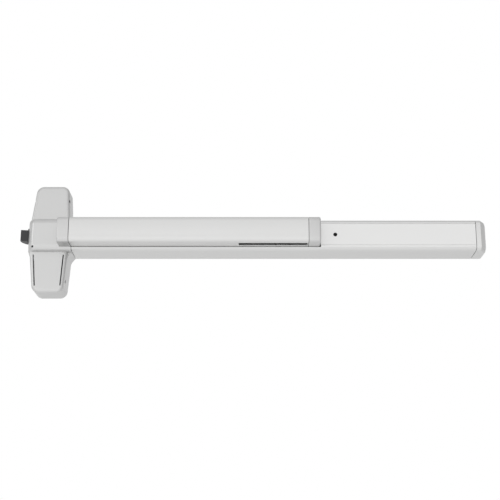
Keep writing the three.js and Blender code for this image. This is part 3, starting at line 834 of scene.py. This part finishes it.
    def openings(self) -> list[bpy.types.Object]:
        """Open the latch window, the bar's end, the small hole, the slots and the screw holes.

        Returns:
            A cutter for each opening.
        """
        front = self.bar.front - self.sleeve_front_wall
        half = self.bar.high - self.sleeve_side_wall
        inner = rounded([(-3, -self.sleeve_foot, 1), (front, -half, 4),
                         (front, half, 4), (-3, self.sleeve_foot, 1)])
        ends = (self.sleeve_left + self.sleeve_front_wall, self.extent.right + 4)
        x, z = self.small_hole
        made = [loft("bar end", along_x(inner, ends)),
                box("latch window", self.window_reach, self.window_depths, self.window_levels, 1.2),
                rod_cutter((x, 0, z), Axis.DEPTH, self.small_hole_radius, (50.0, 70.0))]
        top, bottom = self.slot_levels
        half, turn = self.slot_half_width, self.slot_half_width * 0.85
        depths = (self.lower.depth - 6, self.lower.depth + 5)
        for x, lean in self.slots:
            outline = rounded([(x - half, top, turn), (x + half, top, turn),
                               (x + lean + half, bottom, turn), (x + lean - half, bottom, turn)])
            made.append(loft("slot", along_depth(outline, depths)))
        for node in self.screws:
            x, depth, z = Extent.of(node).middle
            reach = sorted(math.copysign(place, x) for place in self.screw_hole_reach)
            made.append(rod_cutter((0, depth, z), Axis.X, self.screw_hole_radius, reach))
        return made

    def build(self) -> None:
        """Make the case and its four screws."""
        case = carve(self.solid("centre_case"), [self.hollow(), *self.openings()])
        settle(case, CAST_SILVER, "case", ["case_cover"])
        for node in self.screws:
            place = Extent.of(node)
            sign = 1 if place.middle[0] > 0 else -1
            face = place.right if sign > 0 else place.left
            radius = (place.high - place.low) / 2
            screw = socket_screw(node + "_piece", (face, *place.middle[1:]), Axis.X, sign, radius,
                                 self.screw_head, (self.screw_shank, place.right - place.left))
            settle(screw, BLACK_STEEL, "case", [node])


# ---- latch ------------------------------------------------------------------

@dataclass
class Latch:
    """The swinging latch bolt and its deadlatch trigger."""

    pivot: tuple[float, float] = (-28.0, 34.0)
    hub: float = 8.0
    reach: float = 27.3
    root: float = 14.3
    spacer: float = 5.0
    sweep: tuple[float, float] = (187.0, 128.0)
    root_sweep: tuple[float, float] = (187.0, 106.0)
    nose_levels: tuple[float, float] = (-5.0, 15.6)
    root_levels: tuple[float, float] = (-8.2, 18.3)
    spacer_levels: tuple[float, float] = (-14.6, 22.6)
    trigger_radius: float = 2.2
    collar_radius: float = 2.7
    collar: tuple[float, float] = (19.4, 21.0)      # its ends, from the trigger's tip

    def plan(self, reach: float, hub: float, sweep: tuple[float, float]) -> np.ndarray:
        """Outline seen from above: a hub with a slice of a larger disc, as a radius at each angle.

        Args:
            reach: radius of the slice.
            hub: radius of the hub.
            sweep: the angles in degrees between which the slice lies.

        Returns:
            Rows of (x, depth).
        """
        start, end = sweep
        slice_angles = np.linspace(start, end, 26)
        hub_angles = np.linspace(end, start - 360.0, 34)
        angle = np.radians(np.concatenate([slice_angles, hub_angles]))
        radius = np.concatenate([np.full_like(slice_angles, reach), np.full_like(hub_angles, hub)])
        x, depth = self.pivot
        return np.stack([x + radius * np.cos(angle), depth - radius * np.sin(angle)], axis=-1)

    def build(self) -> None:
        """Make the bolt as two stacked slices, and the trigger as a turned pin."""
        low, high = self.root_levels
        bottom, top = self.nose_levels
        foot, head = self.spacer_levels
        root = self.plan(self.root, self.hub, self.root_sweep)
        nose = self.plan(self.reach, self.hub, self.sweep)
        spacer = self.plan(self.spacer, self.spacer, self.sweep)
        rings = np.concatenate([along_z(spacer, (foot, low)), along_z(root, (low, bottom)),
                                along_z(nose, (bottom, top)), along_z(root, (top, high)),
                                along_z(spacer, (high, head))])
        settle(loft("latch_bolt_piece", rings), DARK_STEEL, "latch", ["latch_bolt"], edge=0.5)
        pin = Extent.of("deadlatch_trigger")
        length = pin.right - pin.left
        thin, thick = self.trigger_radius, self.collar_radius
        start, stop = self.collar
        profile = np.array([[0, POLE_RADIUS], [0.25, 1.2], [0.9, 2.0], [1.5, thin], [start, thin],
                            [start, thick], [stop, thick], [stop, thin], [length, thin],
                            [length, POLE_RADIUS]])
        centre = (pin.left, *pin.middle[1:])
        settle(loft("trigger_piece", turned(profile, centre, Axis.X)), BLACK_STEEL,
               "trigger", ["deadlatch_trigger"])


# ---- touch bar --------------------------------------------------------------

@dataclass
class TouchBar:
    """The extruded bar that is pressed, and the cap on its far end."""

    bar: Extent = field(default_factory=lambda: Extent.of("touch_bar"))
    cap: Extent = field(default_factory=lambda: Extent.of("touch_bar_end_cap"))
    edge: float = 7.0
    crown: float = 1.2
    crown_radius: float = 260.0
    foot_radius: float = 0.3
    wall: float = 2.0
    cap_wall: float = 2.6
    cap_bevel: tuple[tuple[float, float], ...] = (      # distance from the end, fall of the front
        (3.2, 0.0), (1.9, 0.35), (0.9, 1.1), (0.3, 2.2), (0.0, 3.4))
    seam: float = 0.35      # given back at each end, so that the joints read
    slot_reach: tuple[float, float] = (341.0, 463.0)
    slot_depths: tuple[float, float] = (69.0, 83.0)

    def section(self, front: float, half: float) -> list[tuple[float, float, float]]:
        """Outer corners of the bar's section, with a slight crown across its front.

        Args:
            front: depth of the crown's top.
            half: half height of the section.

        Returns:
            (depth, z, radius) of each corner.
        """
        root, foot = self.bar.rear, self.foot_radius
        return [(root, -half, foot), (front - self.crown, -half, self.edge),
                (front, 0, self.crown_radius), (front - self.crown, half, self.edge),
                (root, half, foot)]

    def skin(self) -> bpy.types.Object:
        """The bar as one closed section swept along X, with a slot through its underside.

        Returns:
            The bar.
        """
        bar, foot = self.bar, self.foot_radius
        inside = bar.front - self.crown - self.wall
        half = bar.high - self.wall
        section = rounded(self.section(bar.front, bar.high) + [
            (bar.rear, half, foot), (inside, half, self.edge / 2),
            (inside, -half, self.edge / 2), (bar.rear, -half, foot)], 9)
        skin = loft("touch_bar_piece", along_x(section, (bar.left + self.seam, bar.right - self.seam)))
        under = (-bar.high - 3, -bar.high + self.wall + 0.5)
        return carve(skin, [box("slot", self.slot_reach, self.slot_depths, under, 0.4)])

    def end_cap(self) -> bpy.types.Object:
        """The cap: the bar's section, bevelled at its far end and hollowed from behind.

        Returns:
            The cap.
        """
        cap, foot = self.cap, self.foot_radius
        bevel = [(cap.right - cap.left, 0.0), *self.cap_bevel]
        rings = np.stack([along_x(rounded(self.section(cap.front - fall, cap.high - fall / 2), 9),
                                  [cap.right - from_end])[0] for from_end, fall in bevel])
        cap_piece = loft("touch_bar_end_cap_piece", rings)
        inside = cap.front - self.crown - self.wall
        half = cap.high - self.wall
        inner = rounded([(cap.rear - 3, -half, foot), (inside, -half, 2),
                         (inside, half, 2), (cap.rear - 3, half, foot)])
        ends = (cap.left - 2, cap.right - self.cap_wall)
        return carve(cap_piece, [loft("inner", along_x(inner, ends))])

    def build(self) -> None:
        """Make both pieces."""
        settle(self.skin(), DRAWN_SILVER, "push_bar", ["touch_bar"], edge=0.25)
        settle(self.end_cap(), CAST_SILVER, "push_bar", ["touch_bar_end_cap"], edge=0.25)


# ---- channel ----------------------------------------------------------------

@dataclass
class Channel:
    """The fixed channel behind the bar, its cover plate and its end cap."""

    case: Extent = field(default_factory=lambda: Extent.of("mechanism_case"))
    plate: Extent = field(default_factory=lambda: Extent.of("cover_plate"))
    cap: Extent = field(default_factory=lambda: Extent.of("end_cap"))
    edge: float = 8.0
    edge_depth: float = 12.0
    seam: float = 0.45      # given back at each end, so that the joints read
    wall: float = 2.9
    lip_depth: float = 51.0
    mouth: float = 23.5
    fit: float = 0.15
    groove: tuple[float, float] = (19.55, 20.45)
    groove_depth: float = 1.1
    key_hole: float = 3.6
    back: float = 3.0
    hole_places: tuple[float, ...] = (75.0, 300.0, 540.0, 740.0)
    hole_levels: tuple[float, float] = (-12.0, 12.0)
    hole_radius: float = 2.8
    plate_wall: float = 2.5
    plate_lip: tuple[float, float] = (50.0, 21.0)       # its depth, and the level of its inner edge
    plate_shoulder: float = 19.0
    cap_flat: float = 0.415         # share of the end cap's length before its front falls away
    cap_end_depth: float = 45.0
    cap_end_radius: float = 4.5
    cap_front_wall: float = 16.0
    cap_screw_inset: float = 2.5
    cap_screw_hole: float = 2.9
    screw_radius: float = 2.5
    screw_head: float = 2.0
    screw_shank: float = 1.5

    def corner(self, start: float, stop: float, steps: int) -> np.ndarray:
        """Part of the front corner's quarter ellipse, at equal angles.

        Args:
            start: level of the first point.
            stop: level of the last point.
            steps: how many points there are.

        Returns:
            Rows of (depth, z).
        """
        centre = self.case.high - self.edge
        angles = [math.asin(np.clip((level - centre) / self.edge, -1, 1)) for level in (start, stop)]
        angle = np.linspace(*angles, steps)
        return np.stack([self.plate.front - self.edge_depth * (1 - np.cos(angle)),
                         centre + self.edge * np.sin(angle)], axis=-1)

    @staticmethod
    def doubled(half: np.ndarray) -> np.ndarray:
        """A section from its upper half, mirrored below the middle."""
        return np.concatenate([half, (half * [1, -1])[::-1]])

    def trough(self) -> bpy.types.Object:
        """The channel: back, walls, rounded corners and lips turned in to the mouth.

        Returns:
            The channel, with its mounting holes.
        """
        high, inner = self.case.high, self.case.high - self.wall
        half = np.concatenate([
            [[self.back, 0.0], [self.back, inner - 1.5], [3.5, inner - 0.4], [4.5, inner],
             [self.lip_depth, inner], [self.lip_depth, self.mouth]],
            self.corner(self.mouth, high, 12),
            [[0.6, high], [0.0, high - 0.6], [0.0, 0.0]]])
        ends = (self.case.left + self.seam, self.case.right - self.seam)
        channel = loft("mechanism_case_piece", along_x(self.doubled(half), ends))
        holes = [rod_cutter((x, 0, z), Axis.DEPTH, self.hole_radius, (-5.0, 10.0))
                 for x in self.hole_places for z in self.hole_levels]
        return carve(channel, holes)

    def cover(self) -> bpy.types.Object:
        """The cover plate, which carries the channel's corners on over its mouth.

        Returns:
            The plate, with its key hole.
        """
        edge = self.mouth - self.fit
        start, stop = self.groove
        front = self.plate.front
        floor = front - self.groove_depth
        inside = front - self.plate_wall
        lip_depth, lip_level = self.plate_lip
        half = np.concatenate([
            [[front, 0.0], [front, start], [floor, start + 0.08], [floor, stop - 0.08], [front, stop]],
            self.corner(stop + 0.3, edge, 6),
            [[lip_depth, edge], [lip_depth, lip_level], [inside, self.plate_shoulder], [inside, 0.0]]])
        ends = (self.plate.left, self.plate.right - self.seam)
        plate = loft("cover_plate_piece", along_x(self.doubled(half), ends))
        x, _, z = Extent.of("dogging_screw").middle
        return carve(plate, [rod_cutter((x, 0, z), Axis.DEPTH, self.key_hole, (45.0, 70.0))])

    def cap_section(self, front: float, high: float) -> np.ndarray:
        """The end cap's section, whose front corners are quarters of the same ellipse.

        Args:
            front: depth of the front.
            high: half height of the section.

        Returns:
            Rows of (depth, z).
        """
        angle = np.linspace(0.0, math.pi / 2, 12)
        corner = np.stack([front - self.edge_depth * (1 - np.cos(angle)),
                           high - self.edge * (1 - np.sin(angle))], axis=-1)
        return self.doubled(np.concatenate([[[front, 0.0]], corner, [[0.6, high], [0.0, high - 0.6],
                                                                     [0.0, 0.0]]]))

    def end_cap(self) -> bpy.types.Object:
        """The end cap: the closed section whose front and corners fall away at its end.

        Past its flat part the front falls in a straight line, and the end
        itself turns in on a circle.

        Returns:
            The cap, hollowed and with its two screw holes.
        """
        cap = self.cap
        share = np.array([0.0, 0.02, 0.4, self.cap_flat, 0.43, 0.60, 0.76, 0.86, 0.93, 0.97, 0.99, 1.0])
        x = cap.left + share * (cap.right - cap.left)
        flat = cap.left + self.cap_flat * (cap.right - cap.left)
        fall = np.clip((x - flat) / (cap.right - flat), 0, 1) * (cap.front - self.cap_end_depth)
        round_off = quarter(cap.right - x, self.cap_end_radius)
        rings = np.stack([along_x(self.cap_section(cap.front - f - r * 0.4, cap.high - r), [place])[0]
                          for place, f, r in zip(x, fall, round_off)])
        piece = loft("end_cap_piece", rings)
        inside = cap.front - self.cap_front_wall
        half = cap.high - self.wall
        inner = rounded([(-2, -half, 1), (inside, -half, 5), (inside, half, 5), (-2, half, 1)])
        screws = Extent.of("end_cap_screw_lower", "end_cap_screw_upper")
        level = screws.high - self.cap_screw_inset
        cuts = [loft("inner", along_x(inner, (cap.left - 2, cap.right - 3)))]
        cuts += [rod_cutter((0, screws.middle[1], side * level), Axis.X, self.cap_screw_hole,
                            (cap.right - 8, cap.right + 3)) for side in (-1, 1)]
        return carve(piece, cuts)

    def build(self) -> None:
        """Make the three pieces and the end cap's screws."""
        settle(self.trough(), DRAWN_SILVER, "case", ["mechanism_case"], edge=0.2)
        settle(self.cover(), COVER_SILVER, "case", ["cover_plate"])
        settle(self.end_cap(), SATIN_SILVER, "case", ["end_cap"])
        for node in ("end_cap_screw_lower", "end_cap_screw_upper"):
            place = Extent.of(node)
            screw = socket_screw(node + "_piece", (place.right, *place.middle[1:]), Axis.X, 1,
                                 self.screw_radius, self.screw_head,
                                 (self.screw_shank, place.right - place.left))
            settle(screw, BLACK_STEEL, "case", [node])


# ---- springs and inner steel ------------------------------------------------

@dataclass(frozen=True)
class Coil:
    """A compression spring with closed ends, wound about a line along X."""

    node: str
    joint: str
    wire: float             # half the wire's thickness
    turns: float
    anchor: float           # X of the end that stays in place
    travel: float

    def rings(self) -> np.ndarray:
        """Wire sections along a helix whose pitch closes up over the first and last turn.

        The winding's advance is the running sum of a pitch that rises from a
        fifth of its full value at each end to all of it a turn further in.

        Returns:
            The rings, one for each step along the wire.
        """
        place = Extent.of(self.node)
        radius = (place.high - place.low) / 2 - self.wire
        steps = int(self.turns * 40)
        angle = np.linspace(0.0, self.turns * 2 * math.pi, steps)
        from_end = np.minimum(angle, angle[-1] - angle) / (2 * math.pi)
        pitch = 0.25 + np.clip(from_end, 0, 1)**2
        advance = np.cumsum(pitch) - pitch[0]
        x = place.left + self.wire + advance / advance[-1] * (place.right - place.left - 2 * self.wire)
        _, depth, z = place.middle
        spine = np.stack([x, depth + radius * np.cos(angle), z + radius * np.sin(angle)], axis=-1)
        outward = np.stack([np.zeros(steps), np.cos(angle), np.sin(angle)], axis=-1)
        tangent = np.gradient(spine, axis=0)
        tangent /= np.linalg.norm(tangent, axis=1, keepdims=True)
        side = np.cross(tangent, outward)
        around = np.linspace(0, 2 * math.pi, 12, endpoint=False)[None, :, None]
        return spine[:, None] + self.wire * (np.cos(around) * outward[:, None]
                                             + np.sin(around) * side[:, None])

    def build(self) -> None:
        """Make the spring and put it on the case."""
        spring = loft(self.node + "_piece", self.rings())
        place = Extent.of(self.node)
        spring.data.materials.append(BRIGHT_STEEL.material())
        shade(spring)
        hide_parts(self.node)
        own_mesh(spring)
        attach(spring, "case")
        log.info("%s shortens by %.1f mm", self.node, self.travel)


@dataclass
class InnerSteel:
    """The pressed, turned and riveted steel inside, kept from the frame."""

    edge: float = 0.25

    def build(self) -> None:
        """Give every frame node that still shows its finish and softened edges."""
        slots = {part["node"]: part["material_slot"] for part in frame["record"]["subparts"]}
        for name, node in frame["nodes"].items():
            if node.hide_render:
                continue
            node.data.materials.clear()
            node.data.materials.append(SLOT_FINISHES[slots[name]].material())
            weld = node.modifiers.new("weld", "WELD")
            weld.merge_threshold = WELD_DISTANCE
            soften(node, self.edge)
            log.info("%s keeps its frame mesh", name)


@dataclass
class Dogging:
    """The key-turned screw behind the cover plate's hole."""

    head_height: float = 9.0
    shank_radius: float = 2.0

    def build(self) -> None:
        """Make the screw with its hexagon socket facing the room."""
        place = Extent.of("dogging_screw")
        radius = (place.right - place.left) / 2
        screw = socket_screw("dogging_screw_piece", (place.middle[0], place.front, place.middle[2]),
                             Axis.DEPTH, 1, radius, self.head_height,
                             (self.shank_radius, place.front - place.rear))
        settle(screw, BLACK_STEEL, "dogging_key_screw", ["dogging_screw"])


# ---- studio -----------------------------------------------------------------

@dataclass
class Studio:
    """Camera, floor, soft surroundings and lamps."""

    camera_place: tuple[float, float, float] = (0.361, -1.9365, -0.5787)
    camera_tilt: float = 106.33
    lens: float = 78.84
    floor_level: float = -1.01
    floor_reach: float = 6000.0
    sky: tuple[tuple[float, float], ...] = (        # height of a direction, and its light
        (0.0, 0.98), (0.25, 0.97), (0.5, 0.99), (0.62, 1.0), (0.70, 0.76), (1.0, 0.68))
    sky_gain: float = 1.12
    side_loss: float = 0.40         # light lost towards both ends
    right_loss: float = 0.06
    rear_loss: float = 0.14

    def camera(self) -> None:
        """Set the camera below and in front of the device, looking up at it."""
        data = bpy.data.cameras.new("camera")
        data.lens = self.lens
        data.sensor_width = 36.0
        camera = bpy.data.objects.new("camera", data)
        camera.location = self.camera_place
        camera.rotation_euler = (math.radians(self.camera_tilt), 0.0, 0.0)
        bpy.context.scene.collection.objects.link(camera)
        bpy.context.scene.camera = camera

    def surroundings(self) -> None:
        """White behind the device, and around it a light that weakens above, behind and right.

        Strength is a ramp over the direction's height minus shares of its x squared, x and y.
        """
        world = bpy.data.worlds.new("studio")
        bpy.context.scene.world = world
        graph = Graph(world)
        direction = graph.node("ShaderNodeTexCoord", output="Generated")
        split = graph.node("ShaderNodeSeparateXYZ", {}, {0: direction})
        x, y, z = (Signal(graph, split.socket.node.outputs[i]) for i in range(3))
        stops = [(height, (light,) * 3) for height, light in self.sky]
        ramp = graph.node("ShaderNodeValToRGB", {"stops": stops}, {"Fac": z * 0.5 + 0.5})
        soft = (ramp * self.sky_gain - self.side_loss * (x * x) - self.right_loss * x
                - self.rear_loss * y)
        seen = graph.node("ShaderNodeLightPath", output="Is Camera Ray")
        strength = seen + (1 - seen) * soft
        shader = graph.node("ShaderNodeBackground", {}, {"Color": (1, 1, 1, 1), "Strength": strength})
        graph.node("ShaderNodeOutputWorld", {}, {"Surface": shader})

    def lamp(self, name: str, place: Sequence[float], power: float, size: float) -> None:
        """Hang a square soft lamp, turned towards the middle of the device.

        Args:
            name: the lamp's name.
            place: where it hangs, in metres.
            power: its power in watts.
            size: its side in metres.
        """
        data = bpy.data.lights.new(name, "AREA")
        data.energy = power
        data.size = size
        lamp = bpy.data.objects.new(name, data)
        lamp.location = place
        target = (CAD_BOX[0] + CAD_BOX[1]) / 2
        lamp.rotation_euler = (target - lamp.location).to_track_quat("-Z", "Y").to_euler()
        bpy.context.scene.collection.objects.link(lamp)

    def floor(self) -> None:
        """A pale floor well below the device."""
        reach, level = self.floor_reach, self.floor_level / MM
        corners = np.array([[-reach, -reach, level], [reach, -reach, level],
                            [reach, reach, level], [-reach, reach, level]])
        ground = mesh_piece("floor", corners, [[0, 1, 2, 3]])
        material = bpy.data.materials.new("pale floor")
        graph = Graph(material)
        tone = graph.noise((3.0, 3.0, 3.0), 4.0) * 0.04 + 0.84
        colour = graph.node("ShaderNodeVectorMath", {"operation": "SCALE"},
                            {0: (1.0, 1.0, 0.99), "Scale": tone})
        shader = graph.node("ShaderNodeBsdfPrincipled", {}, {"Base Color": colour, "Roughness": 0.8})
        graph.node("ShaderNodeOutputMaterial", {}, {"Surface": shader})
        ground.data.materials.append(material)
        ground.visible_glossy = False
        ground.visible_diffuse = False

    def build(self) -> None:
        """Set up everything that isn't the device."""
        self.camera()
        self.surroundings()
        self.lamp("left softbox", place=(-1.6, -0.6, 0.5), power=1.9, size=0.7)
        self.floor()
        bpy.context.scene.view_settings.view_transform = "Standard"


def main() -> None:
    """Build the studio and every sub-assembly in order."""
    logging.basicConfig(level=logging.INFO, format="%(name)s: %(message)s")
    Studio().build()
    CentreCase().build()
    Latch().build()
    TouchBar().build()
    Channel().build()
    Dogging().build()
    Coil("main_spring", "rod_slide", wire=0.8, turns=10, anchor=270.0, travel=12.479).build()
    Coil("trigger_spring", "trigger_slide", wire=0.35, turns=4, anchor=-12.8, travel=2.0).build()
    InnerSteel().build()


if __name__ == "__main__":
    main()
